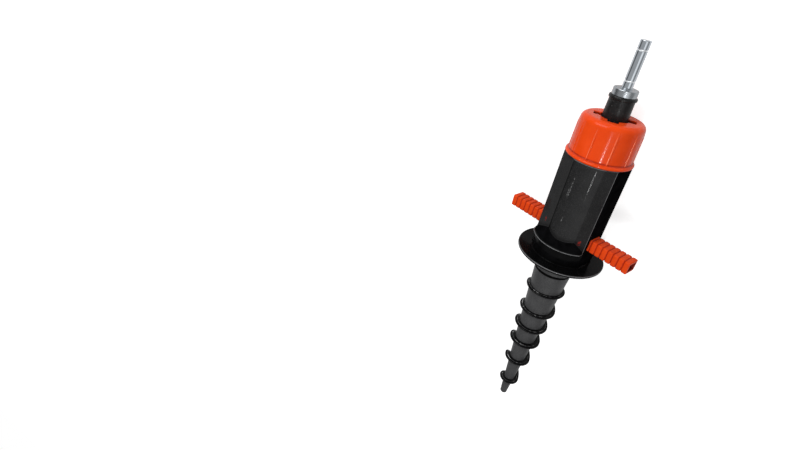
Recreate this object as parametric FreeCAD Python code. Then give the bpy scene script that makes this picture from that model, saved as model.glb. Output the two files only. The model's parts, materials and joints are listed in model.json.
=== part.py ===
import FreeCAD, Part
import math
import os

from FreeCAD import Vector

os.makedirs("parts", exist_ok=True)

# All lengths are in millimetres and all angles in degrees. The screw is drawn upright, pin end up, with z = 0 on
# the flange's top face and the handle bar along x. At the end it is laid on the floor, where it rests on the
# flange's rim, the cap nut's rounded edge and one of the nut's ribs.

# Clearances of the cap nut, which turns
running_gap = 0.1          # all round, on the neck
seat_gap = 0.2             # along the axis, over the shoulder and under the nut's roof

# Spike
spike_len = 303.0          # flange top face to the tip
spike_root_r = 28.0        # radius that the taper has at the flange's top face
spike_tip_r = 5.4
tip_len = 6.0              # the last stretch hardly tapers
tip_round = 3.0
collar_depth = 28.5        # the short collar under the flange ends this far down
collar_proud = 1.0

# Flights of the one long thread, from the tip up: height of each turn's lower face over the tip,
# and how far the turn stands out of the spike
turn_up = [36.0, 86.6, 129.4, 162.6, 195.2, 235.7]
turn_depth = [7.7, 8.4, 8.6, 7.6, 6.5, 5.0]
flight_t = 4.2             # thickness at the root
flight_lip = 2.6           # thickness at the rim
last_thin = 0.45           # the top turn is this share as thick
level_half = 80.0          # each turn runs level this far to both sides of the front
run_out = 0.55             # the thread goes on for this share of a turn past its first and last front
sink = 1.4                 # depth of the flights' root inside the spike
front = -65.4              # direction, from the bar, of the side that the level stretches face

# Flange
flange_r = 58.3
flange_t = 3.9
flange_round = 1.6

# Socket body: two round panels and six flats, on a round foot
body_r = 40.7
body_h = 140.5             # flange top face to the shoulder under the cap nut
shoulder_bevel = 0.8
side_half = 25.5           # half the angle of the flat that the bar comes out of
narrow_half = 11.45        # half the angle of the narrow flat beside it
broad_half = 26.5          # half the angle of the broad flat on its other side
ledge_proud = 2.9
ledge_z = 22.6
ledge_h = 2.2
ledge_round = 1.0
foot_top = 40.0            # the foot goes over from the round ledge to the panels up to here

# Neck and bore
neck_r = 32.0
neck_len = 35.5
bore_play = 2.5            # between the sleeve and the bore below the collet
bore_cover = 19.2          # material between the bar and the bore's floor
seat_flare = 7.0           # the collet's cone widens the bore by this much
seat_depth = 26.0

# Handle bar, a hollow square tube with rounded bumps moulded round both ends
bar_z = 34.5
bar_w = 20.8               # across
bar_h = 16.6               # along the screw's axis
bar_half = 91.5
bar_wall = 3.2
bar_round = 1.6
bump_pitch = 7.5
bump_gap = 2.2
bump_depth = 0.9
first_gap = 2.6            # from the body's flat to the first groove

# Cap nut
cap_h = 50.4
cap_wall = 5.5             # with the room for its thread
cap_draft = 0.8            # smaller at the top by this much
cap_edge = 7.0
cap_roof = 6.0
bead_proud = 3.3
bead_h = 5.0
grip_ribs = 10
first_rib = -11.4
rib_w = 1.6
rib_proud = 0.8
hole_play = 2.0            # between the sleeve and the round hole in the roof
slot_reach = 24.0
slot_w = 12.2
slot_round = 2.0

# Collet
collet_lip = 1.5           # the head stands out over the seat by this much
collet_slot = 3.0

# Sleeve
sleeve_r = 15.0
sleeve_draft = 0.6
sleeve_in = 54.0           # below the collet
sleeve_out = 25.6          # above the cap nut
rim_proud = 1.4
rim_h = 3.8

# Steel pin
disc_r = 14.0
disc_t = 8.0
pin_r = 6.0
pin_len = 51.8
stem_r = 5.0
stem_len = 62.0
groove_w = 1.3
groove_depth = 0.6
low_groove = 8.6           # over the disc
high_groove = 10.2         # under the pin's end

# Heights and radii that follow
collar_z = -collar_depth
side_flat = body_r * math.cos(math.radians(side_half))
ledge_r = body_r + ledge_proud
neck_top = body_h + neck_len
bore_r = sleeve_r + bore_play
bore_floor = bar_z + bar_h / 2 + bore_cover
seat_z = neck_top - seat_depth
seat_mouth_r = bore_r + seat_flare
cap_bottom = body_h + seat_gap
cap_top = cap_bottom + cap_h
roof_z = cap_top - cap_roof
cap_bore = neck_r + running_gap
cap_r = cap_bore + cap_wall
cap_top_r = cap_r - cap_draft
bead_r = cap_r + bead_proud
rib_low = cap_bottom + bead_h * 0.6
rib_high = cap_top - cap_edge * 0.9
hole_r = sleeve_r + hole_play
sleeve_top = cap_top + sleeve_out


def polar(r, deg, z=0.0):
    return Vector(r * math.cos(math.radians(deg)), r * math.sin(math.radians(deg)), z)


def rounded(points):
    # closed outline through (radius, height) points; a third number rounds that corner
    n = len(points)
    corners = []
    for i, p in enumerate(points):
        here = Vector(p[0], 0, p[1])
        if len(p) < 3:
            corners.append((here, None, here))
            continue
        before, after = points[i - 1], points[(i + 1) % n]
        a = (Vector(before[0], 0, before[1]) - here).normalize()
        b = (Vector(after[0], 0, after[1]) - here).normalize()
        half = a.getAngle(b) / 2
        cut = p[2] / math.tan(half)
        centre = here + (a + b).normalize() * (p[2] / math.sin(half))
        middle = centre + (here - centre).normalize() * p[2]
        corners.append((here + a * cut, middle, here + b * cut))
    edges = []
    for i in range(n):
        start, middle, end = corners[i]
        if middle:
            edges.append(Part.Arc(start, middle, end).toShape())
        following = corners[(i + 1) % n][0]
        if end.distanceToPoint(following) > 1e-6:
            edges.append(Part.makeLine(end, following))
    return Part.Wire(edges)


def turned(points):
    return Part.Face(rounded(points)).revolve(Vector(0, 0, 0), Vector(0, 0, 1), 360)


def core_r(z):
    # radius of the spike's taper at this height
    return spike_root_r + (spike_root_r - spike_tip_r) * z / (spike_len - tip_len)


def ease(t):
    t = min(1.0, max(0.0, t))
    return t * t * (3 - 2 * t)


def flight_place(turns):
    # height and depth of the thread, this many turns up from its lowest front;
    # it runs level past the front and climbs to the next turn round the back
    last = len(turn_up) - 1
    near = min(max(int(math.floor(turns + 0.5)), 0), last)
    off = turns - near
    level = level_half / 360.0
    beside = min(max(near + (1 if off > 0 else -1), 0), last)
    climbed = (abs(off) - level) / (1 - 2 * level)
    mix = ease(climbed) if climbed > 0 else 0.0
    z = turn_up[near] + (turn_up[beside] - turn_up[near]) * mix - spike_len
    return z, turn_depth[near] + (turn_depth[beside] - turn_depth[near]) * mix


def flight_section(turns):
    # outline from the spike over the rim and back, which thins to nothing at both ends of the thread
    last = len(turn_up) - 1
    grow = ease((turns + run_out) / 0.3) * ease((last + run_out - turns) / 0.3)
    z, depth = flight_place(turns)
    thick = flight_t * (last_thin if turns > last + 0.3 else 1.0)
    root = core_r(z) - sink
    reach = (depth + sink) * grow + 0.85 * sink * (1 - grow)
    lip = flight_lip * (0.3 + 0.7 * grow)
    base = thick * (0.4 + 0.6 * grow)
    shape = [(0.0, base), (0.35, base - (base - lip) * 0.35), (0.75, base - (base - lip) * 0.75),
             (0.93, lip * 0.93), (1.0, lip * 0.5), (0.93, lip * 0.07), (0.75, 0.0), (0.35, 0.0), (0.0, 0.0)]
    return [polar(root + reach * s, front + 360.0 * turns, z + h) for s, h in shape]


def flight():
    # rails along the thread, with strips ruled between them and a flat face at each end
    first, last = -run_out, len(turn_up) - 1 + run_out
    count = int(round((last - first) * 30))
    sections = [flight_section(first + (last - first) * i / count) for i in range(count + 1)]
    steps = [float(i) for i in range(count + 1)]
    rails = []
    for k in range(len(sections[0])):
        rail = Part.BSplineCurve()
        rail.interpolate(Points=[section[k] for section in sections], Parameters=steps)
        rails.append(rail.toShape())
    faces = [Part.makeRuledSurface(rails[k - 1], rails[k], 1) for k in range(len(rails))]
    for section in (sections[0], sections[-1]):
        faces.append(Part.Face(Part.makePolygon(section + [section[0]])))
    skin = Part.makeCompound(faces)
    skin.sewShape()
    solid = Part.Solid(skin.Shells[0])
    if solid.Volume < 0:
        solid.reverse()
    return solid


def panels():
    # where each panel of the body starts and ends, once round, and whether it is flat
    around = []
    for turn in (0, 180):
        broad_end = turn + side_half + 2 * broad_half
        narrow_start = turn + 180 - side_half - 2 * narrow_half
        around.append((turn - side_half, turn + side_half, True))
        around.append((turn + side_half, broad_end, True))
        around.append((broad_end, narrow_start, False))
        around.append((narrow_start, turn + 180 - side_half, True))
    return around


def body_ring(r, z, faceted):
    edges = []
    for start, end, flat in panels():
        p, q = polar(r, start, z), polar(r, end, z)
        if flat and faceted:
            edges.append(Part.makeLine(p, q))
        else:
            edges.append(Part.Arc(p, polar(r, (start + end) / 2, z), q).toShape())
    return Part.Wire(edges)


def spike_and_flange():
    end = -spike_len
    outline = [
        (0, end), (spike_tip_r, end, tip_round), (spike_tip_r + 0.3, end + tip_len),
        (core_r(collar_z), collar_z), (core_r(collar_z) + collar_proud, collar_z, 0.4),
        (core_r(-flange_t) + collar_proud, -flange_t), (flange_r, -flange_t, flange_round * 0.9),
        (flange_r, 0, flange_round), (body_r - 0.3, 0), (body_r - 0.1, ledge_z - ledge_h),
        (ledge_r, ledge_z - ledge_h, ledge_round * 0.9), (ledge_r, ledge_z, ledge_round), (0, ledge_z),
    ]
    return turned(outline)


def socket_shaft():
    # ruled from the round ledge to the panels, straight up, and in over the shoulder's bevel
    shaft = Part.makeLoft([
        body_ring(ledge_r - ledge_round, ledge_z, False),
        body_ring(body_r, foot_top, True),
        body_ring(body_r, body_h - shoulder_bevel, True),
        body_ring(body_r - shoulder_bevel, body_h, True),
    ], True, True)
    neck_root = body_h - neck_len / 2
    return shaft.fuse(turned([(0, neck_root), (neck_r, neck_root), (neck_r, neck_top, 1.0), (0, neck_top)]))


def screw_body():
    body = spike_and_flange().fuse(socket_shaft()).fuse(flight())
    for turn in (0, 180):
        beside = Part.makeBox(flange_r, 2 * flange_r, body_h, Vector(side_flat, -flange_r, 0))
        beside.rotate(Vector(0, 0, 0), Vector(0, 0, 1), turn)
        body = body.cut(beside)
    through = Part.makeBox(4 * body_r, bar_w, bar_h, Vector(-2 * body_r, -bar_w / 2, bar_z - bar_h / 2))
    bore = turned([(0, bore_floor), (bore_r, bore_floor), (bore_r, seat_z), (seat_mouth_r, neck_top),
                   (seat_mouth_r, neck_top + 1), (0, neck_top + 1)])
    return body.cut(through).cut(bore).removeSplitter()


def handle_bar():
    def stick(w, h, half, r):
        box = Part.makeBox(2 * half, w, h, Vector(-half, -w / 2, bar_z - h / 2))
        return box.makeFillet(r, [e for e in box.Edges if abs(e.Length - 2 * half) < 1e-6])

    bar = stick(bar_w, bar_h, bar_half, bar_round)
    rims = [e for e in bar.Edges if abs(abs(e.CenterOfMass.x) - bar_half) < 1e-6]
    bar = bar.makeChamfer(0.7, rims)
    between = stick(bar_w - 2 * bump_depth, bar_h - 2 * bump_depth, bar_half, bar_round * 0.7)
    first = side_flat + first_gap
    count = int((bar_half - 3 - first) / bump_pitch) + 1
    for side in (-1, 1):
        for i in range(count):
            x = side * (first + i * bump_pitch)
            around = Part.makeBox(bump_gap, 2 * bar_w, 2 * bar_h, Vector(x - bump_gap / 2, -bar_w, bar_z - bar_h))
            bar = bar.cut(around.cut(between))
    return bar.cut(stick(bar_w - 2 * bar_wall, bar_h - 2 * bar_wall, bar_half + 1, bar_round * 0.6))


def cap_nut():
    cap = turned([
        (cap_bore, cap_bottom), (bead_r, cap_bottom, 1.4), (bead_r, cap_bottom + bead_h * 0.55, 1.6),
        (cap_r, cap_bottom + bead_h, 0.8), (cap_top_r, cap_top, cap_edge), (hole_r, cap_top, 1.2),
        (hole_r, roof_z), (cap_bore - 1.5, roof_z), (cap_bore, roof_z - 1.5),
    ])
    lean = math.degrees(math.atan(cap_draft / cap_h))
    rib_root, rib_face = cap_r - cap_wall * 0.6, cap_r + rib_proud
    for i in range(grip_ribs):
        rib = Part.makeBox(rib_face - rib_root, rib_w, rib_high - rib_low, Vector(rib_root, -rib_w / 2, rib_low))
        rib.rotate(Vector(rib_face, 0, rib_low), Vector(0, 1, 0), -lean)
        rib.rotate(Vector(0, 0, 0), Vector(0, 0, 1), first_rib + i * 360.0 / grip_ribs)
        cap = cap.fuse(rib)
    for turn in (0, 90):
        slot = Part.makeBox(2 * slot_reach, slot_w, cap_roof + 2, Vector(-slot_reach, -slot_w / 2, roof_z - 1))
        slot = slot.makeFillet(slot_round, [e for e in slot.Edges if abs(e.Length - cap_roof - 2) < 1e-6])
        slot.rotate(Vector(0, 0, 0), Vector(0, 0, 1), front + turn)
        cap = cap.cut(slot)
    return cap.removeSplitter()


def clamp_collet():
    # cone split into four jaws under a ring that the cap nut's roof presses on
    head_r, head_top = seat_mouth_r + collet_lip, roof_z - seat_gap
    collet = turned([
        (sleeve_r, seat_z), (bore_r, seat_z), (seat_mouth_r, neck_top), (head_r, neck_top),
        (head_r, head_top, 1.0), (sleeve_r, head_top, 0.8),
    ])
    for turn in (45, 135):
        split = Part.makeBox(4 * head_r, collet_slot, seat_depth + 3)
        split.translate(Vector(-2 * head_r, -collet_slot / 2, seat_z - 1))
        split.rotate(Vector(0, 0, 0), Vector(0, 0, 1), front + turn)
        collet = collet.cut(split)
    return collet


def pin_sleeve():
    top_r, rim_z = sleeve_r - sleeve_draft, sleeve_top - rim_h
    return turned([
        (0, seat_z - sleeve_in), (sleeve_r, seat_z - sleeve_in, 1.5), (sleeve_r, roof_z),
        (top_r, rim_z, 0.3), (top_r + rim_proud, rim_z, 0.9), (top_r + rim_proud, sleeve_top, 1.4),
        (stem_r, sleeve_top), (stem_r, sleeve_top - stem_len), (0, sleeve_top - stem_len),
    ])


def steel_pin():
    disc_top = sleeve_top + disc_t
    end = disc_top + pin_len
    outline = [
        (0, sleeve_top - stem_len), (stem_r, sleeve_top - stem_len), (stem_r, sleeve_top),
        (disc_r, sleeve_top, 0.5), (disc_r, disc_top, 0.9), (pin_r, disc_top, 0.4),
    ]
    for z in (disc_top + low_groove, end - high_groove):
        outline += [(pin_r, z - groove_w / 2), (pin_r - groove_depth, z - groove_w / 2),
                    (pin_r - groove_depth, z + groove_w / 2), (pin_r, z + groove_w / 2)]
    return turned(outline + [(pin_r, end, 0.7), (0, end)])


def resting_tilt():
    # The floor, seen from the upright screw, is a line that leans in by this angle and touches the flange's rim
    # and the first round of the cap nut that it meets. Gives the angle and the line's radius at z = 0.
    low_r, low_z, low = flange_r - flange_round, -flange_round, flange_round
    found = []
    for high_r, high_z, high in ((cap_top_r - cap_edge, cap_top - cap_edge, cap_edge),
                                 (bead_r - 1.4, cap_bottom + 1.4, 1.4)):
        run, rise = low_r - high_r, high_z - low_z
        found.append(math.atan(run / rise) + math.asin((low - high) / math.hypot(run, rise)))
    tilt = min(found)
    touch_r, touch_z = low_r + low * math.cos(tilt), low_z + low * math.sin(tilt)
    return math.degrees(tilt), touch_r + touch_z * math.tan(tilt)


def resting_rise(bar, tilt, line_r):
    # How far the bar's +x half points up from level. The screw is rolled off the bar's other end, until the next
    # rib of the cap nut meets the floor with its upper corner.
    points, _ = bar.tessellate(0.05)
    slope = math.tan(math.radians(tilt))
    low, high = 0.0, 60.0
    for _ in range(50):
        rise = (low + high) / 2
        down = polar(1, 90 + rise)
        if min(line_r - slope * p.z - p.dot(down) for p in points) > 0:
            low = rise
        else:
            high = rise
    rib_top_r = cap_r + rib_proud - (rib_high - rib_low) * cap_draft / cap_h
    corner_r = math.hypot(rib_top_r, rib_w / 2)
    floor_r = line_r - slope * rib_high
    if corner_r <= floor_r:
        return low
    reach = math.degrees(math.acos(floor_r / corner_r) + math.atan2(rib_w / 2, rib_top_r))
    pitch = 360.0 / grip_ribs
    over = (low + 90 - first_rib - reach) % pitch
    return low - over


def lay_down(shapes):
    tilt, line_r = resting_tilt()
    rise = resting_rise(shapes["handle_bar"], tilt, line_r)
    axis_height = line_r * math.cos(math.radians(tilt))
    for shape in shapes.values():
        shape.rotate(Vector(0, 0, 0), Vector(0, 0, 1), 270 - rise)
        shape.rotate(Vector(0, 0, 0), Vector(0, 1, 0), 90 + tilt)
        shape.translate(Vector(0, 0, axis_height))
    box = Part.makeCompound(list(shapes.values())).BoundBox
    for shape in shapes.values():
        shape.translate(Vector(-box.Center.x, -box.Center.y, 0))
    print("tilt %.4f  rise %.4f" % (tilt, rise))
    print("middle of the flange's top face at %.4f %.4f %.4f" % (-box.Center.x, -box.Center.y, axis_height))


def main():
    shapes = {
        "screw_body": screw_body(),
        "handle_bar": handle_bar(),
        "cap_nut": cap_nut(),
        "clamp_collet": clamp_collet(),
        "pin_sleeve": pin_sleeve(),
        "steel_pin": steel_pin(),
    }
    lay_down(shapes)
    for name, shape in shapes.items():
        solid = shape.Solids[0]
        print("%-13s valid %s solids %d volume %.0f" % (name, solid.isValid(), len(shape.Solids), solid.Volume))
        solid.exportStep("parts/%s.step" % name)


main()
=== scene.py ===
import json
import math

import bpy
import numpy as np
from mathutils import Matrix, Vector


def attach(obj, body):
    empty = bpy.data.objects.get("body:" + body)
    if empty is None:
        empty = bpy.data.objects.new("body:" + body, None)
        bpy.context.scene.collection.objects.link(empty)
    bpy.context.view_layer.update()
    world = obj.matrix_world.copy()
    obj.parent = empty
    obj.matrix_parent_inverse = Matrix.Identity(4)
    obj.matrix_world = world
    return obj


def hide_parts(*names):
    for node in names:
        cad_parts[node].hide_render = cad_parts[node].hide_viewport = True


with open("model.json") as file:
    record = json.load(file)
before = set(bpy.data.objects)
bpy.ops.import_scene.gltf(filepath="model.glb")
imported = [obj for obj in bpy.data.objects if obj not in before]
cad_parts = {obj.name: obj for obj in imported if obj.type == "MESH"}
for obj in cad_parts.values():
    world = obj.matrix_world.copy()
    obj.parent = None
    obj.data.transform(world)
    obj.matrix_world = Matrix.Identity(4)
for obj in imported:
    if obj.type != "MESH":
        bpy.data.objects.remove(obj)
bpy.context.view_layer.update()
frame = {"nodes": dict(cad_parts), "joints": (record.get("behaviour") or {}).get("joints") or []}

# Lengths are in millimetres on the upright screw: z = 0 on the flange's top face and z up toward the pin.
# Angles are in degrees round the axis from the handle bar, counter-clockwise as seen from the pin's end.
MM = 0.001
FRONT = -65.4                      # direction of the side that the camera sees

# Spike, flange and body, as in the solids
SPIKE_LEN, SPIKE_ROOT_R, SPIKE_TIP_R, TIP_LEN, TIP_ROUND = 303.0, 28.0, 5.4, 6.0, 3.0
COLLAR_Z, COLLAR_PROUD = -28.5, 1.0
FLANGE_R, FLANGE_T, FLANGE_ROUND = 58.3, 3.9, 1.6
BODY_R, BODY_H, SHOULDER = 40.7, 140.5, 0.8
LEDGE_R, LEDGE_Z, LEDGE_H, LEDGE_ROUND = 43.6, 22.6, 2.2, 1.0
SIDE_HALF, NARROW_HALF, BROAD_HALF = 25.5, 11.45, 26.5
SIDE_FLAT = BODY_R * math.cos(math.radians(SIDE_HALF))
NECK_R, NECK_TOP, BORE_R, BORE_FLOOR = 32.0, 176.0, 17.5, 62.0
SEAT_Z, SEAT_MOUTH_R = 150.0, 24.5

# Heights where the grained panels end over the foot: in the crease beside the broad flat, in the middle of the round
# panel, beside the narrow flat, and at the side flats
GRAIN_HIGH, GRAIN_LOW, GRAIN_EDGE, GRAIN_SIDE = 44.5, 35.6, 38.8, 26.0
# The flats beside the side flats: direction, half the angle, which way the side flat lies, and the grain's far end
FLATS = [flat for turn in (0, 180) for flat in (
    (turn - SIDE_HALF - NARROW_HALF, NARROW_HALF, 1, GRAIN_EDGE),
    (turn + SIDE_HALF + BROAD_HALF, BROAD_HALF, -1, GRAIN_HIGH))]
FINE_ARCS = ((-34, -24), (24, 34), (-51, -46), (76, 81))     # where the body's corners need more points
SHADE = 4.1                        # height of the painted shadow under the collar
GRAINED, GLOSSY, DULL, SPIKE = 0, 1, 2, 3                    # the body's materials

# Flights
TURN_UP = [36.0, 86.6, 129.4, 162.6, 195.2, 235.7]
TURN_DEPTH = [7.7, 8.4, 8.6, 7.6, 6.5, 5.0]
FLIGHT_T, FLIGHT_LIP, LAST_THIN, SINK = 4.2, 2.6, 0.45, 1.4
LEVEL_HALF, RUN_OUT, GROW_TURNS = 80.0, 0.55, 0.3
STEPS_A_TURN = 100
LIT_SIDE, HIGHLIGHT_POINT = FRONT - 60, 4       # where the flights' painted highlight line is palest, and its place in the section

# Handle bar
BAR_Z, BAR_W, BAR_H, BAR_HALF, BAR_WALL = 34.5, 20.8, 16.6, 91.5, 3.2
BUMP_PITCH, BUMP_GAP, BUMP_DEPTH, FIRST_GAP = 7.5, 2.2, 1.2, 2.6

# Cap nut
CAP_BOTTOM, CAP_H, CAP_BORE, CAP_WALL, CAP_DRAFT, CAP_EDGE, CAP_ROOF = 140.7, 50.4, 32.1, 5.5, 0.8, 7.0, 6.0
CAP_R = CAP_BORE + CAP_WALL
CAP_TOP = CAP_BOTTOM + CAP_H
BEAD_R, BEAD_H = CAP_R + 3.3, 5.0
RIBS, FIRST_RIB, RIB_W, RIB_PROUD = 10, -11.4, 1.6, 0.8
RIB_PITCH = 360.0 / RIBS
HOLE_R, SLOT_REACH, SLOT_W, OPENING_LIP = 17.0, 24.0, 12.2, 1.0
INSIDE_SHADE = -0.85                # line mark that paints shade on the inside

# Sleeve and pin
SLEEVE_R, SLEEVE_TOP_R, SLEEVE_Z0, SLEEVE_TOP = 15.0, 14.4, 96.0, 216.7
RIM_PROUD, RIM_H = 1.4, 3.8
DISC_R, DISC_T, PIN_R, PIN_LEN, STEM_R, STEM_LEN = 14.0, 8.0, 6.0, 51.8, 5.0, 62.0
GROOVE_W, GROOVE_DEPTH, LOW_GROOVE, HIGH_GROOVE = 1.3, 0.6, 8.6, 10.2

# Meshes: sides of a lathed piece, the first and last radius of an outline, degrees between points of a rounding,
# the first point after a rounding, and steps of the bar's rounded corners
LATHE_SIDES, BODY_AXIS_R, LATHE_AXIS_R = 128, 0.6, 0.3
ARC_STEP, LEAD, BAR_CORNER_STEPS = 12, 0.12, 6

# Scratches, and two red patches that are painted reflections of the orange bar, on the body: degrees to the right of
# the front, lower and upper end, width. They fade at both ends.
SCRATCHES = ((-23.0, 92.0, 121.0, 2.0), (-25.5, 94.0, 106.0, 1.6), (-18.0, 60.0, 68.0, 2.4))
BAR_REFLECTIONS = ((-62.0, 43.0, 51.0, 6.0), (26.0, 35.0, 43.0, 6.0))
PATCH_FADE = 2.0

# Camera: its place in front of the upright screw, the point that it looks at, and how far the screw leans
CAMERA_UP, CAMERA_OUT = 333.0, 580.3
AIM_UP, AIM_LEFT, LEAN = -63.2, 243.9, 9.65
LENS = 20.5

# Floor, in metres: its side, how far it lies under the object, and where its glow starts and stops growing
FLOOR_SIDE, FLOOR_GAP, GLOW_NEAR, GLOW_FAR = 40, 0.0003, 0.5, 2.5

# Lamps face the middle of the screw. Each has a name, the direction of its two ends as seen from there (degrees to
# the right of the front and toward the pin), its distance and width in metres, and its power in watts.
MIDDLE_Z = 80.0
LAMPS = (("key", (-40, 24), (-40, 66), 1.9, 1.3, 26),
         ("strip", (12, -12), (11, -21), 1.5, 0.05, 4.3),
         ("card", (30, -26), (30, 2), 1.6, 0.85, 1.4))


def screw_place():
    # matrix from the upright screw, in metres, to the row frame
    joint = frame["joints"][0]
    axis = Vector(joint["axis"]).normalized()
    point = Vector(joint["pos_m"])
    tip = min((v.co - point).dot(axis) for v in frame["nodes"]["screw_body"].data.vertices)
    origin = point + axis * (tip + SPIKE_LEN * MM)
    spread = np.array([v.co for v in frame["nodes"]["handle_bar"].data.vertices])
    along = np.linalg.svd(spread - spread.mean(0), full_matrices=False)[2][0]
    bar = Vector(along) * (1 if along[2] > 0 else -1)
    bar = (bar - axis * bar.dot(axis)).normalized()
    side = axis.cross(bar)
    place = Matrix((bar, side, axis)).transposed().to_4x4()
    place.translation = origin
    return place


PLACE = screw_place()


def world_point(x, y, z):
    return PLACE @ (Vector((x, y, z)) * MM)


def turn_point(r, deg, z):
    return world_point(r * math.cos(math.radians(deg)), r * math.sin(math.radians(deg)), z)


def piece(name, points, faces, body, nodes, materials, uv=None, marks=None, which=None):
    # points in millimetres on the upright screw; uv holds one value a face corner, marks one a point,
    # and which the number of each face's material
    co = np.asarray(points, float) * MM
    co = co @ np.array(PLACE.to_3x3()).T + np.array(PLACE.translation)
    mesh = bpy.data.meshes.new(name)
    mesh.from_pydata(co.tolist(), [], faces)
    mesh.shade_smooth()
    if uv is not None:
        layer = mesh.uv_layers.new(name="unrolled")
        layer.data.foreach_set("uv", np.asarray(uv, np.float32).ravel())
    for key, values in (marks or {}).items():
        mark = mesh.attributes.new(key, "FLOAT", "POINT")
        mark.data.foreach_set("value", np.asarray(values, np.float32).ravel())
    for material in materials:
        mesh.materials.append(material)
    if which is not None:
        mesh.polygons.foreach_set("material_index", np.asarray(which, np.int32))
    mesh.validate()
    obj = bpy.data.objects.new(name, mesh)
    bpy.context.scene.collection.objects.link(obj)
    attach(obj, body)
    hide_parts(*nodes)


def ring_faces(rings, count, closed=False):
    # quads between rings of count points each; closed joins the last ring to the first
    faces = []
    for i in range(rings if closed else rings - 1):
        up = (i + 1) % rings
        for j in range(count):
            k = (j + 1) % count
            faces.append((i * count + j, i * count + k, up * count + k, up * count + j))
    return faces


def turned_grid(radius, height, angles, closed):
    # Rows of points round the axis, joined into faces with their outsides out. radius and height have one row for
    # each step along the outline. closed joins the last row to the first; otherwise both ends close on the axis.
    rows, count = radius.shape
    deg = np.radians(angles)
    points = np.stack([radius * np.cos(deg), radius * np.sin(deg), height], -1).reshape(-1, 3)
    turn = np.append(angles, angles[0] + 360.0)

    def corner(i, j):
        return (turn[j] / 360.0 * 2 * math.pi * BODY_R * MM, height[i % rows, j % count] * MM)
    faces = ring_faces(rows, count, closed)
    uv = []
    for i in range(rows if closed else rows - 1):
        for j in range(count):
            uv += [corner(i, j), corner(i, j + 1), corner(i + 1, j + 1), corner(i + 1, j)]
    if not closed:
        ends = np.array([[0, 0, height[0].mean()], [0, 0, height[-1].mean()]])
        low, high, last = len(points), len(points) + 1, (rows - 1) * count
        points = np.vstack([points, ends])
        for j in range(count):
            k = (j + 1) % count
            faces += [(low, k, j), (high, last + j, last + k)]
            uv += [corner(0, j), corner(0, j + 1), corner(0, j)]
            uv += [corner(rows - 1, j), corner(rows - 1, j), corner(rows - 1, j + 1)]
    return points, faces, uv


def outline(corners, step):
    # points along (radius, height[, rounding]) corners, no further apart than about one step, close at the roundings
    last = len(corners) - 1
    stops = []
    for i, corner in enumerate(corners):
        here = np.array(corner[:2], float)
        if len(corner) < 3 or i in (0, last):
            stops.append([here])
            continue
        a = np.array(corners[i - 1][:2], float) - here
        b = np.array(corners[i + 1][:2], float) - here
        a, b = a / np.linalg.norm(a), b / np.linalg.norm(b)
        half = math.acos(max(-1.0, min(1.0, float(a @ b)))) / 2
        centre = here + (a + b) / np.linalg.norm(a + b) * corner[2] / math.sin(half)
        start, end = here + a * corner[2] / math.tan(half), here + b * corner[2] / math.tan(half)
        t0 = math.atan2(*(start - centre)[::-1])
        t1 = math.atan2(*(end - centre)[::-1])
        sweep = (t1 - t0 + math.pi) % (2 * math.pi) - math.pi
        count = max(4, int(abs(math.degrees(sweep)) / ARC_STEP))
        turns = [t0 + sweep * k / count for k in range(count + 1)]
        stops.append([centre + corner[2] * np.array([math.cos(t), math.sin(t)]) for t in turns])
    points = []
    for i in range(last):
        points += list(stops[i])
        here, there = stops[i][-1], stops[i + 1][0]
        gap = np.linalg.norm(there - here)
        inner = max(1, int(gap / step))
        lead = min(LEAD, gap / 4)
        between = np.linspace(0, gap, inner + 1)[1:-1].tolist()
        between = sorted(set([lead] + [g for g in between if lead * 2 < g < gap - lead * 2] + [gap - lead]))
        points += [here + (there - here) * g / gap for g in between]
    return np.array(points + list(stops[-1]))


def lathe(corners):
    line = outline(corners, 3.0)
    angles = np.arange(LATHE_SIDES) * 360.0 / LATHE_SIDES
    radius = np.repeat(line[:, :1], LATHE_SIDES, 1)
    height = np.repeat(line[:, 1:], LATHE_SIDES, 1)
    return turned_grid(radius, height, angles, False)


def core_r(z):
    # radius of the spike's taper
    return SPIKE_ROOT_R + (SPIKE_ROOT_R - SPIKE_TIP_R) * z / (SPIKE_LEN - TIP_LEN)


def clip(value, low=0.0, high=1.0):
    return min(high, max(low, value))


def ease(t):
    t = clip(t)
    return t * t * (3 - 2 * t)


def from_middle(angles, middle):
    # signed angle from this direction
    return (angles - middle + 180.0) % 360.0 - 180.0


def from_nearest(angles, middles):
    # angle to the nearest of these directions
    return np.min([np.abs(from_middle(angles, m)) for m in middles], 0)


def bring_in(reach, angles, middle, distance):
    # cuts the radius back to a flat that faces this direction, at this distance from the axis
    off = np.radians(from_middle(angles, middle))
    facing = np.abs(off) < 1.2     # less than a right angle
    reach[facing] = np.minimum(reach[facing], distance / np.cos(off[facing]))


def side_cut(angles):
    # radius of the two flats that the bar comes out of
    reach = np.full(len(angles), 1000.0)
    for middle in (0, 180):
        bring_in(reach, angles, middle, SIDE_FLAT)
    return reach


def panel_radius(angles):
    reach = np.minimum(np.full(len(angles), BODY_R), side_cut(angles))
    for middle, half, _, _ in FLATS:
        bring_in(reach, angles, middle, BODY_R * math.cos(math.radians(half)))
    return reach


def across_panel(angles, turn):
    # place on a round panel, from -1 at the broad flat to 1 at the narrow one
    start = turn + SIDE_HALF + 2 * BROAD_HALF
    stop = turn + 180 - SIDE_HALF - 2 * NARROW_HALF
    return from_middle(angles, (start + stop) / 2) / ((stop - start) / 2)


def grain_end(angles):
    # height where the grained panels end, in a curve on each panel
    end = np.full(len(angles), GRAIN_SIDE)
    for middle, half, side, high in FLATS:
        off = from_middle(angles, middle)
        on = np.abs(off) <= half
        share = (half - side * off[on]) / (2 * half)
        end[on] = GRAIN_SIDE + (high - GRAIN_SIDE) * share
    for turn in (0, 180):
        off = across_panel(angles, turn)
        on = np.abs(off) <= 1
        rise = np.where(off < 0, GRAIN_HIGH, GRAIN_EDGE) - GRAIN_LOW
        end[on] = GRAIN_LOW + (rise * off ** 2)[on]
    return end


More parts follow.
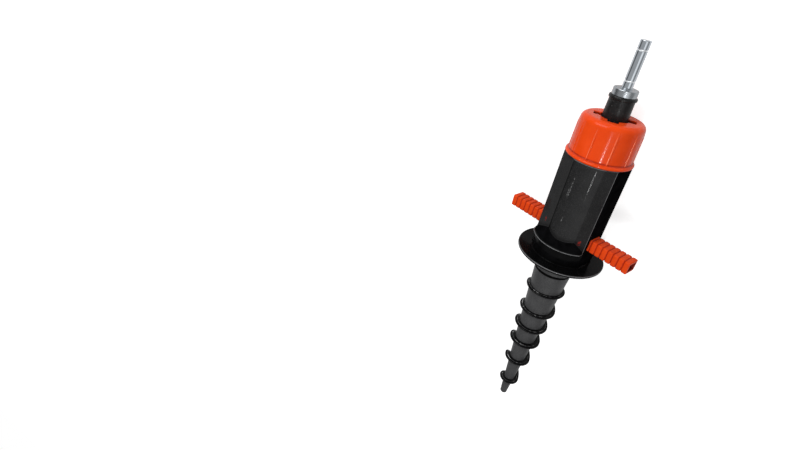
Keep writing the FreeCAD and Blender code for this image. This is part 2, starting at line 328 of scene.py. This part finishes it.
def painted_sheen_share(angles):
    # the round panels are paler toward one side: a painted sheen
    share = np.full(len(angles), 0.45)
    for turn in (0, 180):
        off = across_panel(angles, turn)
        on = np.abs(off) <= 1
        share[on] = np.clip((off[on] + 0.95) / 1.7, 0, 1)
    return share


def softened(radius_of, angles, width=1.1):
    # the same radius with its corners rounded over this many degrees to both sides
    return np.mean([radius_of(angles + d) for d in np.linspace(-width, width, 9)], 0)


def with_fine(step, fine, digits):
    # directions all round at this step, and these finer ones
    fine = (np.concatenate(fine) + 180.0) % 360.0 - 180.0
    return np.unique(np.round(np.concatenate([np.arange(-180.0, 180.0, step), fine]), digits))


def spike_line():
    # the outline from the tip to the foot of the body, with extra points for the painted shadow under the collar
    collar_r = core_r(COLLAR_Z)
    line = outline([(BODY_AXIS_R, -SPIKE_LEN), (SPIKE_TIP_R, -SPIKE_LEN, TIP_ROUND),
                    (SPIKE_TIP_R + 0.3, -SPIKE_LEN + TIP_LEN), (collar_r, COLLAR_Z),
                    (collar_r + COLLAR_PROUD, COLLAR_Z, 0.4),
                    (core_r(-FLANGE_T) + COLLAR_PROUD, -FLANGE_T, 0.8), (FLANGE_R, -FLANGE_T, FLANGE_ROUND * 0.9),
                    (FLANGE_R, 0, FLANGE_ROUND), (BODY_R + 0.6, 0)], 8.0)
    below = [(core_r(z), z) for z in COLLAR_Z - np.array([SHADE + 0.7, SHADE, 0.3])]
    first = next(i for i, (_, z) in enumerate(line) if z > COLLAR_Z - SHADE - 1.1)
    return list(line[:first]) + below + [p for p in line[first:] if p[1] > COLLAR_Z - 0.25]


def corner_highlights_and_crease_shade(angles):
    # painted highlight on the corners of the side flats, painted shade in the crease beside the broad flats
    corner = from_nearest(angles, (SIDE_HALF, -SIDE_HALF, 180 - SIDE_HALF, 180 + SIDE_HALF))
    crease = SIDE_HALF + 2 * BROAD_HALF
    crease = from_nearest(angles, (crease, crease + 180))
    return np.clip(1.6 - corner / 0.55, 0, 1) - 0.7 * np.clip(1.8 - crease / 1.1, 0, 1)


def body_piece(materials):
    # materials: grained panels, glossy black, dull black of the foot, the side flats and the painted shadow under the
    # collar, spike
    angles = with_fine(1.25, [turn + np.arange(*arc, 0.5) for turn in (0, 180) for arc in FINE_ARCS], 3)
    count = len(angles)
    rows = []                      # radius, height, material and mark of painted highlight and shade along the outline, from the tip up

    def add(radius, height, kind, line=0.0):
        rows.append((np.broadcast_to(radius, count), np.broadcast_to(height, count), kind,
                     np.broadcast_to(line, count)))
    for r, z in spike_line():
        # a pale line round the flange's rim is a painted highlight
        painted_mark = max(0.0, 1 - abs(z + 0.9) / 0.7) if r > FLANGE_R - 1.3 else 0.0
        kind = SPIKE if z < -FLANGE_T + 0.1 and r < SPIKE_ROOT_R + 2.5 else GLOSSY
        # a band under the collar in dull black with a dark mark: painted shadow
        if COLLAR_Z - SHADE - 0.1 < z < COLLAR_Z + 0.1:
            painted_mark, kind = -1.0, DULL
        add(r, z, kind, painted_mark)

    # The wall up to the ledge, cut by the side flats, which grow out of the flange
    cut = softened(side_cut, angles)
    foot_r = LEDGE_R - LEDGE_ROUND - 0.1
    wall = outline([(BODY_R + 0.6, 0), (BODY_R - 0.3, 0, 0.5), (BODY_R - 0.1, LEDGE_Z - LEDGE_H, 0.4),
                    (LEDGE_R, LEDGE_Z - LEDGE_H, LEDGE_ROUND * 0.9), (LEDGE_R, LEDGE_Z, LEDGE_ROUND),
                    (foot_r, LEDGE_Z)], 3.0)
    round_part = np.clip((from_nearest(angles, (0, 180)) - SIDE_HALF + 1.0) / 1.5, 0, 1)
    for r, z in wall[1:]:
        # a pale line on the ledge's rounded edge, on the round part only, is a painted highlight
        painted_mark = max(0.0, 1 - abs(z - LEDGE_Z + 0.55) / 0.6) if r > LEDGE_R - 0.7 else 0.0
        add(np.minimum(r, cut + 1.0 - clip(z / 0.5)), z, GLOSSY, painted_mark * round_part)

    # The foot, which goes over from the ledge to the panels, the panels and the bevel of the shoulder
    panel = softened(panel_radius, angles)
    end = softened(grain_end, angles, 0.6)
    painted_lines = corner_highlights_and_crease_shade(angles)
    for s in np.linspace(0, 1, 16)[1:]:
        shape = s + 0.25 * s * (1 - s)
        add(np.minimum(foot_r + (panel - foot_r) * shape, cut), LEDGE_Z + (end - LEDGE_Z) * s,
            DULL if s < 1 else GRAINED, painted_lines)
    top = BODY_H - SHOULDER
    for s in [0.01, 0.03, 0.05, 0.07] + np.linspace(0, 1, 24)[2:].tolist():
        # just above the grain's end the panels darken: painted shade
        shade_above_foot = max(0.0, 0.75 - s / 0.08)
        add(panel, end + (top - end) * s, GRAINED, painted_lines - shade_above_foot * (painted_lines < 0.5))
    # a pale line on the shoulder's bevel: painted highlight
    for a in (30, 60, 90):
        add(panel - SHOULDER * (1 - math.cos(math.radians(a))), top + SHOULDER * math.sin(math.radians(a)),
            GRAINED, 0.7)
    for r, z in outline([(NECK_R + 1.0, BODY_H), (NECK_R, BODY_H, 0.5), (NECK_R, NECK_TOP, 1.0),
                         (SEAT_MOUTH_R, NECK_TOP), (BORE_R, SEAT_Z), (BORE_R, BORE_FLOOR), (BODY_AXIS_R, BORE_FLOOR)],
                        8.0):
        add(r, z, GLOSSY)

    radius = np.array([row[0] for row in rows])
    height = np.array([row[1] for row in rows])
    points, faces, uv = turned_grid(radius, height, angles, False)
    painted_light_marks = np.concatenate([row[3] for row in rows]).tolist() + [0.0, 0.0]
    painted_sheen = np.tile(softened(painted_sheen_share, angles, 0.8), len(rows)).tolist() + [0.0, 0.0]
    middle = angles + np.diff(np.append(angles, angles[0] + 360.0)) / 2
    side = from_nearest(middle, (0, 180)) < SIDE_HALF - 0.4
    which = []
    for i in range(len(rows) - 1):
        level = height[i, 0]
        flat = side & (level >= 0) & (radius[i].min() < SIDE_FLAT + 2.0) & (level < BODY_H - 0.5)
        which += np.where(flat, DULL, rows[i][2]).tolist()
    which += [SPIKE, GLOSSY] * count
    piece("socket_and_spike", points, faces, "socket", ["screw_body"], materials, uv,
          {"line": painted_light_marks, "painted_sheen": painted_sheen}, which)


def flight_place(turns):
    # height and depth of the thread, this many turns up from its lowest front
    last = len(TURN_UP) - 1
    near = clip(int(math.floor(turns + 0.5)), 0, last)
    off = turns - near
    level = LEVEL_HALF / 360.0
    beside = clip(near + (1 if off > 0 else -1), 0, last)
    climbed = (abs(off) - level) / (1 - 2 * level)
    mix = ease(climbed) if climbed > 0 else 0.0
    z = TURN_UP[near] + (TURN_UP[beside] - TURN_UP[near]) * mix - SPIKE_LEN
    return z, TURN_DEPTH[near] + (TURN_DEPTH[beside] - TURN_DEPTH[near]) * mix


def flight_piece(material):
    last = len(TURN_UP) - 1
    first, stop = -RUN_OUT, last + RUN_OUT
    count = int((stop - first) * STEPS_A_TURN)
    points, highlight_line = [], []
    for i in range(count + 1):
        turns = first + (stop - first) * i / count
        grow = ease((turns + RUN_OUT) / GROW_TURNS) * ease((last + RUN_OUT - turns) / GROW_TURNS)
        z, depth = flight_place(turns)
        thick = FLIGHT_T * (LAST_THIN if turns > last + GROW_TURNS else 1.0)
        root = core_r(z) - SINK
        reach = (depth + SINK) * grow + 0.85 * SINK * (1 - grow)
        lip = FLIGHT_LIP * (0.3 + 0.7 * grow)
        base = thick * (0.4 + 0.6 * grow)
        nose = lip / 2
        ring = [(s * (reach - nose), base + (lip - base) * s) for s in (0.0, 0.18, 0.4, 0.68, 0.74, 0.80, 1.0)]
        ring += [(reach - nose + nose * math.sin(math.radians(a)), nose + nose * math.cos(math.radians(a)))
                 for a in range(20, 180, 20)]
        ring += [(s * (reach - nose), 0.0) for s in (1.0, 0.75, 0.5, 0.3, 0.18, 0.0)]
        deg = math.radians(FRONT + 360.0 * turns)
        # the pale line inside the flights' edge is a painted highlight, palest toward the lit side
        highlight_share = 0.25 + 0.75 * max(0.0, math.cos(deg - math.radians(LIT_SIDE)))
        for k, (out, h) in enumerate(ring):
            points.append(((root + out) * math.cos(deg), (root + out) * math.sin(deg), z + h))
            highlight_line.append(grow * highlight_share if k == HIGHLIGHT_POINT else 0.0)
    n = len(ring)
    faces = ring_faces(count + 1, n)
    faces.append(tuple(range(n))[::-1])
    faces.append(tuple(count * n + j for j in range(n)))
    piece("thread_flights", points, faces, "socket", ["screw_body"], [material], None, {"line": highlight_line})


def bar_groove(x):
    # how deep the bar's skin lies under the tops of its bumps here
    along = (abs(x) - SIDE_FLAT - FIRST_GAP) / BUMP_PITCH
    if along < -0.5:
        return 0.0
    off = abs(along - round(along)) * BUMP_PITCH
    floor_half = BUMP_GAP / 2 - 0.85
    if off < floor_half:
        return BUMP_DEPTH
    side = min(1.0, (off - floor_half) / 2.0)
    return BUMP_DEPTH * (1 - math.sqrt(max(0.0, 1 - (1 - side) ** 2)))


def bar_section(x, half_w, half_h, r):
    ring = []
    for cy, cz, start in ((1, 1, 0), (-1, 1, 90), (-1, -1, 180), (1, -1, 270)):
        for k in range(BAR_CORNER_STEPS + 1):
            a = math.radians(start + 90.0 * k / BAR_CORNER_STEPS)
            ring.append((x, cy * (half_w - r) + r * math.cos(a), BAR_Z + cz * (half_h - r) + r * math.sin(a)))
    return ring


def bar_piece(materials):
    # materials: the skin and the hollow, whose dark orange is painted shade
    rings, deep = [], []

    def add(x, inset, r=1.6, depth=0.0):
        rings.append(bar_section(x, BAR_W / 2 - inset, BAR_H / 2 - inset, r))
        deep.append(depth / BUMP_DEPTH)
    for inset, x in ((0.9, -BAR_HALF), (0.4, -BAR_HALF + 0.15), (0.1, -BAR_HALF + 0.5)):
        add(x, inset)
    for x in np.arange(-BAR_HALF + 0.8, BAR_HALF - 0.79, 0.25):
        if abs(x) < SIDE_FLAT - 6 and int(x * 10) % 20 > 3:      # few rings are needed inside the body
            continue
        depth = bar_groove(x)
        add(x, depth, 1.9 - depth * 0.3, depth)
    for inset, x in ((0.1, BAR_HALF - 0.5), (0.4, BAR_HALF - 0.15), (0.9, BAR_HALF)):
        add(x, inset)
    outer = len(rings)
    for x, more in ((BAR_HALF, 0.5), (BAR_HALF - 0.5, 0.0), (BAR_HALF - 30, 0.0), (-BAR_HALF + 30, 0.0),
                    (-BAR_HALF + 0.5, 0.0), (-BAR_HALF, 0.5)):
        add(x, BAR_WALL - more, 1.0)
    n = len(rings[0])
    points = [p for ring in rings for p in ring]
    which = np.repeat([1 if outer <= i < len(rings) - 1 else 0 for i in range(len(rings))], n)
    piece("ribbed_bar", points, ring_faces(len(rings), n, True), "socket", ["handle_bar"], materials,
          None, {"groove_shade": np.repeat(deep, n)}, which)


def opening_r(angles, grow=0.0):
    # radius of the plus-shaped opening
    reach = np.full(len(angles), HOLE_R + grow)
    for turn in (0, 90, 180, 270):
        off = np.radians(np.abs(from_middle(angles, FRONT + turn)))
        on = off < 0.5
        half = SLOT_W / 2 + grow
        along = np.minimum((SLOT_REACH + grow) / np.cos(off[on]), half / np.maximum(np.sin(off[on]), 1e-6))
        reach[on] = np.maximum(reach[on], along)
    return reach


def cap_piece(material):
    rib_at = [FIRST_RIB + i * RIB_PITCH for i in range(RIBS)]
    fine = [deg + np.arange(-2.8, 2.81, 0.4) for deg in rib_at]
    fine += [FRONT + t + s * 18 + np.arange(-5, 5.1, 0.6) for t in (0, 90, 180, 270) for s in (-1, 1)]
    angles = with_fine(1.5, fine, 2)
    count = len(angles)
    mm_a_degree = math.radians(1) * CAP_R
    rib = np.clip((RIB_W / 2 + 0.55 - from_nearest(angles, rib_at) * mm_a_degree) / 0.75, 0, 1)
    rib = rib * rib * (3 - 2 * rib) * RIB_PROUD
    from_rib = (angles - FIRST_RIB + RIB_PITCH / 2) % RIB_PITCH - RIB_PITCH / 2
    rib_highlight = np.clip(1.25 - np.abs(from_rib * mm_a_degree + 0.75) / 0.42, 0, 1)
    rows = []                      # radius, height and mark of painted highlight and shade, from the skirt over the top and back inside

    def add(radius, height, line):
        rows.append([np.broadcast_to(value, count) for value in (radius, height, line)])

    # Painted highlights on one side of each rib, fading toward the top, and painted shade at the skirt's lower edge
    # and in the seam over the bead
    low, high = CAP_BOTTOM + BEAD_H * 0.8, CAP_TOP - CAP_EDGE * 0.9
    for r, z in outline([(CAP_BORE + 0.4, CAP_BOTTOM), (BEAD_R, CAP_BOTTOM, 1.4),
                         (BEAD_R, CAP_BOTTOM + BEAD_H * 0.55, 1.6), (CAP_R, CAP_BOTTOM + BEAD_H, 0.8),
                         (CAP_R - CAP_DRAFT, CAP_TOP, CAP_EDGE), (SLOT_REACH + 3.2, CAP_TOP)], 1.6):
        fade = clip((z - low) / 1.5) * clip((high - z) / 9.0)
        seam_shade = max(0.0, 1 - abs(z - CAP_BOTTOM - BEAD_H - 0.1) / 0.9) if r < CAP_R + 1.2 else 0.0
        skirt_shade = max(0.0, 1 - (z - CAP_BOTTOM) / 0.8)
        highlight_share = 1.0 - 0.6 * clip((z - low) / (high - low))
        add(r + rib * fade, z, rib_highlight * fade * highlight_share - max(seam_shade, skirt_shade))

    # The opening's rounded lip, its wall and the inside, darkened with painted shade
    for a in range(0, 91, 15):
        grow = OPENING_LIP * (1 - math.sin(math.radians(a)))
        add(softened(lambda t, g=grow: opening_r(t, g), angles, 0.9),
            CAP_TOP - OPENING_LIP * (1 - math.cos(math.radians(a))), 0.0 if a < 75 else INSIDE_SHADE)
    for z in (CAP_TOP - 3.0, CAP_TOP - CAP_ROOF):
        add(softened(opening_r, angles, 0.9), z, INSIDE_SHADE)
    for r, z in outline([(SLOT_REACH + 3.0, CAP_TOP - CAP_ROOF), (CAP_BORE, CAP_TOP - CAP_ROOF, 1.5),
                         (CAP_BORE, CAP_BOTTOM, 0.4), (CAP_BORE + 0.5, CAP_BOTTOM)], 6.0)[:-1]:
        add(r, z, INSIDE_SHADE)
    radius, height, painted_lines = np.array(rows).transpose(1, 0, 2)
    points, faces, uv = turned_grid(radius, height, angles, True)
    piece("clamp_nut", points, faces, "cap", ["cap_nut"], [material], uv, {"line": painted_lines})


def sleeve_piece(material):
    rim_z = SLEEVE_TOP - RIM_H
    points, faces, uv = lathe([
        (LATHE_AXIS_R, SLEEVE_Z0), (SLEEVE_R, SLEEVE_Z0, 1.5), (SLEEVE_R, CAP_TOP - CAP_ROOF),
        (SLEEVE_TOP_R, rim_z, 0.3), (SLEEVE_TOP_R + RIM_PROUD, rim_z, 0.9),
        (SLEEVE_TOP_R + RIM_PROUD, SLEEVE_TOP, 1.4), (STEM_R, SLEEVE_TOP), (STEM_R, SLEEVE_TOP - STEM_LEN),
        (LATHE_AXIS_R, SLEEVE_TOP - STEM_LEN)])
    piece("tube_sleeve", points, faces, "socket", ["pin_sleeve"], [material], uv)


def pin_piece(materials):
    # materials: the polished pin, its two rings in paler, rougher steel that paints the highlight on their edges, and
    # the turned disc
    top = SLEEVE_TOP + DISC_T
    end = top + PIN_LEN
    rings = (top + LOW_GROOVE, end - HIGH_GROOVE)
    stem_r, seat = STEM_R - 0.05, SLEEVE_TOP + 0.02
    corners = [(LATHE_AXIS_R, SLEEVE_TOP - STEM_LEN), (stem_r, SLEEVE_TOP - STEM_LEN, 0.5), (stem_r, seat),
               (DISC_R, seat, 0.5), (DISC_R, top, 0.9), (PIN_R, top, 0.4)]
    for z in rings:
        corners += [(PIN_R, z - GROOVE_W / 2, 0.12), (PIN_R - GROOVE_DEPTH, z - GROOVE_W / 2, 0.2),
                    (PIN_R - GROOVE_DEPTH, z + GROOVE_W / 2, 0.2), (PIN_R, z + GROOVE_W / 2, 0.12)]
    corners += [(PIN_R, end, 0.7), (LATHE_AXIS_R, end)]
    points, faces, uv = lathe(corners)
    heights = np.array([points[list(face)][:, 2].mean() for face in faces])
    which = np.where(np.min([np.abs(heights - z) for z in rings], 0) < GROOVE_W / 2 + 0.1, 1, 0)
    which = np.where((heights > SLEEVE_TOP) & (heights < top + 0.25), 2, which)
    piece("turned_pin", points, faces, "socket", ["steel_pin"], materials, uv, None, which)


def feed(owner, socket, value):
    # links a socket to another one, or gives it a value; owner is a material or the world
    if isinstance(value, bpy.types.NodeSocket):
        owner.node_tree.links.new(value, socket)
    else:
        socket.default_value = value


def add_node(owner, kind, values=(), **settings):
    node = owner.node_tree.nodes.new(kind)
    for key, value in settings.items():
        setattr(node, key, value)
    for key, value in dict(values).items():
        feed(owner, node.inputs[key], value)
    return node


def new_material(name, color, roughness, **sockets):
    material = bpy.data.materials.new(name)
    material.use_nodes = True
    shader = material.node_tree.nodes["Principled BSDF"]
    shader.inputs["Base Color"].default_value = (*color, 1)
    shader.inputs["Roughness"].default_value = roughness
    for key, value in sockets.items():
        shader.inputs[key.replace("_", " ")].default_value = value
    return material, shader


def calc(owner, operation, *values):
    return add_node(owner, "ShaderNodeMath", dict(enumerate(values)), operation=operation).outputs[0]


def ramp(owner, value, low, high, start=0.0, end=1.0):
    node = add_node(owner, "ShaderNodeMapRange", {"Value": value, "From Min": low, "From Max": high,
                                                  "To Min": start, "To Max": end}, clamp=True)
    return node.outputs["Result"]


def noise(material, scale, detail=3.0, roughness=0.55):
    where = add_node(material, "ShaderNodeTexCoord").outputs["Object"]
    texture = add_node(material, "ShaderNodeTexNoise", {"Vector": where, "Scale": scale, "Detail": detail,
                                                        "Roughness": roughness})
    return texture.outputs["Fac"]


def clouds(material, scale, detail=3.0):
    # soft patches from 0 to 1
    return ramp(material, noise(material, scale, detail), 0.3, 0.7)


def attribute(material, name):
    return add_node(material, "ShaderNodeAttribute", attribute_name=name).outputs["Fac"]


def blend(material, share, first, second, mode="MIX"):
    # each colour is a socket or three numbers
    node = add_node(material, "ShaderNodeMix", data_type="RGBA", blend_type=mode)
    feed(material, node.inputs[0], share)
    for index, color in ((6, first), (7, second)):
        feed(material, node.inputs[index], color if isinstance(color, bpy.types.NodeSocket) else (*color, 1))
    return node.outputs[2]


def bump(material, shader, height, strength, distance):
    node = add_node(material, "ShaderNodeBump", {"Strength": strength, "Distance": distance, "Height": height})
    feed(material, shader.inputs["Normal"], node.outputs["Normal"])


def with_painted_lines(material, shader, color, light=(0.19, 0.19, 0.195), dark=(0.003, 0.003, 0.003)):
    # painted highlights as thin light lines along edges, and painted shade where the mark is negative
    line = attribute(material, "line")
    broken = ramp(material, noise(material, 260.0), 0.28, 0.45, 0.4, 1.0)
    color = blend(material, calc(material, "MULTIPLY", ramp(material, line, 0, 1), broken), color, light)
    color = blend(material, ramp(material, line, 0, -1), color, dark)
    feed(material, shader.inputs["Base Color"], color)


def scratch_and_reflection_patch(material, az, low, high, width):
    # a broken upright stretch on the body, az to the right of the front
    place = add_node(material, "ShaderNodeUVMap", uv_map="unrolled").outputs["UV"]
    split = add_node(material, "ShaderNodeSeparateXYZ", {"Vector": place}).outputs
    across = from_middle(FRONT + az, 0) / 360.0 * 2 * math.pi * BODY_R * MM
    off = calc(material, "ABSOLUTE", calc(material, "SUBTRACT", split["X"], across))
    far = calc(material, "ABSOLUTE", calc(material, "SUBTRACT", split["Y"], (low + high) / 2 * MM))
    half = (high - low) / 2 * MM
    share = calc(material, "MULTIPLY", ramp(material, off, width / 2 * MM, 0.0),
                 ramp(material, far, half, half - PATCH_FADE * MM))
    return calc(material, "MULTIPLY", share, ramp(material, noise(material, 520.0, 2.0, 0.5), 0.46, 0.56))


def grained_material():
    # fine-grained black, paler on one side of each round panel as a painted sheen, with pale specks, small scratches,
    # two red patches that are painted reflections of the orange bar, and painted highlights and shade from its line
    # marks
    material, shader = new_material("grained_black", (0.018, 0.018, 0.0185), 0.4, Specular_IOR_Level=0.0,
                                    Coat_Weight=0.05, Coat_Roughness=0.08)
    cloud = clouds(material, 60.0, 4.0)
    fine = noise(material, 1100.0, 2.0)
    plain = blend(material, cloud, (0.011, 0.011, 0.0112), (0.016, 0.016, 0.0163))
    painted_sheen = blend(material, cloud, (0.025, 0.025, 0.0255), (0.034, 0.034, 0.0345))
    color = blend(material, attribute(material, "painted_sheen"), plain, painted_sheen)
    color = blend(material, ramp(material, fine, 0.5, 0.78), color, (0.05, 0.05, 0.051))
    for marks, tone in ((SCRATCHES, (0.17, 0.17, 0.17)), (BAR_REFLECTIONS, (0.42, 0.020, 0.012))):
        for mark in marks:
            color = blend(material, scratch_and_reflection_patch(material, *mark), color, tone)
    with_painted_lines(material, shader, color)
    feed(material, shader.inputs["Roughness"], ramp(material, cloud, 0, 1, 0.36, 0.46))
    bump(material, shader, fine, 0.3, 0.0005)
    return material


def glossy_material():
    material, shader = new_material("glossy_black", (0.0025, 0.0025, 0.0028), 0.2, Specular_IOR_Level=0.04,
                                    Coat_Weight=0.08, Coat_Roughness=0.1)
    cloud = clouds(material, 120.0)
    feed(material, shader.inputs["Roughness"], ramp(material, cloud, 0, 1, 0.14, 0.28))
    # its pale line marks paint the highlights on the flange's rim and the ledge
    with_painted_lines(material, shader, blend(material, cloud, (0.002, 0.002, 0.0022), (0.0035, 0.0035, 0.0038)))
    return material


def dull_material():
    material, shader = new_material("dull_black", (0.003, 0.003, 0.0032), 0.5, Specular_IOR_Level=0.0)
    color = blend(material, clouds(material, 90.0), (0.002, 0.002, 0.0022), (0.005, 0.005, 0.0055))
    # its line marks paint the shadow under the collar, and the corner highlights and crease shade over the foot
    with_painted_lines(material, shader, color)
    return material


def spike_material():
    material, shader = new_material("spike_grey", (0.06, 0.06, 0.062), 0.45, Specular_IOR_Level=0.3)
    fine = noise(material, 1100.0, 2.0)
    color = blend(material, ramp(material, fine, 0.35, 0.65), (0.04, 0.04, 0.0415), (0.08, 0.08, 0.082))
    tint = blend(material, clouds(material, 70.0, 4.0), (0.8, 0.8, 0.8), (1.1, 1.1, 1.1))
    with_painted_lines(material, shader, blend(material, 1.0, color, tint, "MULTIPLY"))
    bump(material, shader, fine, 0.3, 0.0006)
    return material


def flight_material():
    # glossy black with a painted highlight, a thin pale line inside the edge, and white painted glints along it
    material, shader = new_material("flight_black", (0.0025, 0.0025, 0.0028), 0.3, Specular_IOR_Level=0.03,
                                    Coat_Weight=0.2, Coat_Roughness=0.08)
    cloud = clouds(material, 120.0)
    feed(material, shader.inputs["Roughness"], ramp(material, cloud, 0, 1, 0.24, 0.36))
    color = blend(material, cloud, (0.0025, 0.0025, 0.0028), (0.0045, 0.0045, 0.005))
    glints = ramp(material, noise(material, 160.0, 2.0, 0.5), 0.50, 0.58)
    with_painted_lines(material, shader, color, blend(material, glints, (0.12, 0.12, 0.122), (0.85, 0.85, 0.85)))
    return material


def nut_material():
    material, shader = new_material("orange_gloss", (0.79, 0.066, 0.007), 0.14, Specular_IOR_Level=0.13)
    color = blend(material, clouds(material, 45.0), (0.74, 0.054, 0.004), (0.82, 0.070, 0.008))
    # pale orange paints the highlights on the ribs, dark red the shade in the seam, at the skirt's edge and inside
    with_painted_lines(material, shader, color, (0.92, 0.27, 0.14), (0.26, 0.010, 0.003))
    bump(material, shader, noise(material, 700.0, 2.0), 0.035, 0.0004)
    return material


def bar_material():
    material, shader = new_material("orange_satin", (0.71, 0.056, 0.006), 0.42, Specular_IOR_Level=0.08)
    color = blend(material, clouds(material, 110.0), (0.66, 0.049, 0.005), (0.76, 0.064, 0.007))
    # darker in the grooves between the bumps: painted shade
    groove_shade = ramp(material, attribute(material, "groove_shade"), 0.05, 0.8)
    feed(material, shader.inputs["Base Color"], blend(material, groove_shade, color, (0.40, 0.020, 0.003)))
    bump(material, shader, noise(material, 500.0, 2.0), 0.12, 0.0005)
    return material


def hollow_shade_material():
    # the bar's inside, dark orange as painted shade
    material, shader = new_material("orange_hollow_shade", (0.16, 0.008, 0.003), 0.6, Specular_IOR_Level=0.1)
    color = blend(material, clouds(material, 90.0), (0.12, 0.006, 0.003), (0.22, 0.011, 0.004))
    feed(material, shader.inputs["Base Color"], color)
    return material


def sleeve_material():
    material, shader = new_material("sleeve_black", (0.010, 0.010, 0.010), 0.3, Specular_IOR_Level=0.2)
    speck = ramp(material, noise(material, 650.0, 2.0), 0.62, 0.75)
    feed(material, shader.inputs["Base Color"], blend(material, speck, (0.009, 0.009, 0.0092), (0.07, 0.068, 0.065)))
    feed(material, shader.inputs["Roughness"], ramp(material, noise(material, 200.0), 0.3, 0.7, 0.22, 0.42))
    bump(material, shader, noise(material, 380.0), 0.3, 0.0006)
    return material


def steel_material(name, color, low, high):
    # bare steel with an uneven polish, its roughness between low and high
    material, shader = new_material(name, color, low, Metallic=1.0)
    polish_share = noise(material, 1500.0, 2.0, 0.5)
    feed(material, shader.inputs["Roughness"], ramp(material, polish_share, 0.3, 0.7, low, high))
    pale = tuple(min(1.0, c * 1.12) for c in color)
    feed(material, shader.inputs["Base Color"], blend(material, clouds(material, 90.0), color, pale))
    return material


def collet_material():
    material, shader = new_material("collet_black", (0.01, 0.01, 0.01), 0.5)
    color = blend(material, clouds(material, 90.0), (0.007, 0.007, 0.0075), (0.014, 0.014, 0.015))
    feed(material, shader.inputs["Base Color"], color)
    bump(material, shader, noise(material, 500.0), 0.1, 0.0005)
    return material


def background(owner, mirrored):
    # 1 for the camera, this share in mirrors and through glass, and 0 for the light on the object
    path = add_node(owner, "ShaderNodeLightPath").outputs
    shiny = calc(owner, "MAXIMUM", path["Is Glossy Ray"], path["Is Transmission Ray"])
    return calc(owner, "MAXIMUM", path["Is Camera Ray"], ramp(owner, shiny, 0, 1, 0.0, mirrored))


def floor():
    # a white floor that keeps the object's shadow and goes over into plain white further out
    bpy.ops.mesh.primitive_plane_add(size=FLOOR_SIDE, location=(0, 0, -FLOOR_GAP))
    plane = bpy.context.object
    plane.name = "floor"
    material, shader = new_material("floor_white", (0.75, 0.75, 0.75), 0.9, Specular_IOR_Level=0.0)
    where = add_node(material, "ShaderNodeTexCoord").outputs["Object"]
    far = add_node(material, "ShaderNodeVectorMath", {0: where}, operation="LENGTH").outputs["Value"]
    strength = calc(material, "MULTIPLY", background(material, 0.2),
                    ramp(material, far, GLOW_NEAR, GLOW_FAR, 0.68, 0.95))
    glow = add_node(material, "ShaderNodeEmission", {"Color": (1, 1, 1, 1), "Strength": strength})
    both = add_node(material, "ShaderNodeAddShader", {0: shader.outputs["BSDF"], 1: glow.outputs["Emission"]})
    feed(material, material.node_tree.nodes["Material Output"].inputs["Surface"], both.outputs["Shader"])
    plane.data.materials.append(material)


def from_screw(az, elevation, distance):
    # a place seen from the middle of the screw: az to the right of the front, elevation toward the pin
    out = distance / MM * math.cos(math.radians(elevation))
    return turn_point(out, FRONT + az, MIDDLE_Z + distance / MM * math.sin(math.radians(elevation)))


def area_light(name, start, end, width, power):
    # a lamp whose middle line runs between two places and which faces the screw
    place, aim = (start + end) / 2, world_point(0, 0, MIDDLE_Z)
    back = (place - aim).normalized()
    along = end - start
    along = (along - back * along.dot(back)).normalized()
    lamp = bpy.data.lights.new(name, "AREA")
    lamp.shape = "RECTANGLE"
    lamp.size, lamp.size_y = (end - start).length, width
    lamp.energy = power
    obj = bpy.data.objects.new(name, lamp)
    obj.matrix_world = Matrix((along, back.cross(along), back)).transposed().to_4x4()
    obj.matrix_world.translation = place
    bpy.context.scene.collection.objects.link(obj)


def lights():
    # a soft ceiling that dims toward the sides and most to the left, white behind the floor, and the lamps
    world = bpy.data.worlds.new("studio")
    bpy.context.scene.world = world
    world.use_nodes = True
    where = add_node(world, "ShaderNodeTexCoord").outputs["Generated"]
    split = add_node(world, "ShaderNodeSeparateXYZ", {"Vector": where}).outputs
    right = turn_point(1, FRONT + 90, 0) - world_point(0, 0, 0)
    sign = 1 if right.y > 0 else -1
    low_sky = ramp(world, split["Y"], -0.2 * sign, 0.6 * sign, 0.04, 0.28)
    ceiling = ramp(world, split["Z"], 0.38, 0.66, low_sky, 0.42)
    sky = world.node_tree.nodes["Background"]
    sky.inputs["Color"].default_value = (1, 1, 1, 1)
    feed(world, sky.inputs["Strength"], ramp(world, background(world, 0.1), 0, 1, ceiling, 1.0))
    for name, start, end, distance, width, power in LAMPS:
        area_light(name, from_screw(*start, distance), from_screw(*end, distance), width, power)


def camera():
    origin = world_point(0, 0, 0)
    front = (turn_point(1, FRONT, 0) - origin).normalized()
    axis = (world_point(0, 0, 1) - origin).normalized()
    right = (turn_point(1, FRONT + 90, 0) - origin).normalized()
    spot = origin + (axis * CAMERA_UP + front * CAMERA_OUT) * MM
    aim = origin + (axis * AIM_UP - right * AIM_LEFT) * MM
    look = (aim - spot).normalized()
    lean = (axis - look * axis.dot(look)).normalized()
    up = Matrix.Rotation(math.radians(-LEAN), 3, look) @ lean
    turn = Matrix((look.cross(up), up, -look)).transposed().to_4x4()
    turn.translation = spot
    data = bpy.data.cameras.new("camera")
    data.sensor_width = 36.0
    data.lens = LENS
    data.clip_end = 100.0
    obj = bpy.data.objects.new("camera", data)
    obj.matrix_world = turn
    bpy.context.scene.collection.objects.link(obj)
    bpy.context.scene.camera = obj


def main():
    body_piece([grained_material(), glossy_material(), dull_material(), spike_material()])
    flight_piece(flight_material())
    bar_piece([bar_material(), hollow_shade_material()])
    cap_piece(nut_material())
    sleeve_piece(sleeve_material())
    pin_piece([steel_material("polished_steel", (0.52, 0.56, 0.60), 0.06, 0.12),
               steel_material("steel_ring_highlight", (0.80, 0.82, 0.84), 0.4, 0.5),
               steel_material("turned_steel", (0.36, 0.38, 0.40), 0.24, 0.32)])
    collet = frame["nodes"]["clamp_collet"]
    collet.data.materials.clear()
    collet.data.materials.append(collet_material())
    floor()
    lights()
    camera()
    bpy.context.scene.view_settings.view_transform = "Standard"


main()
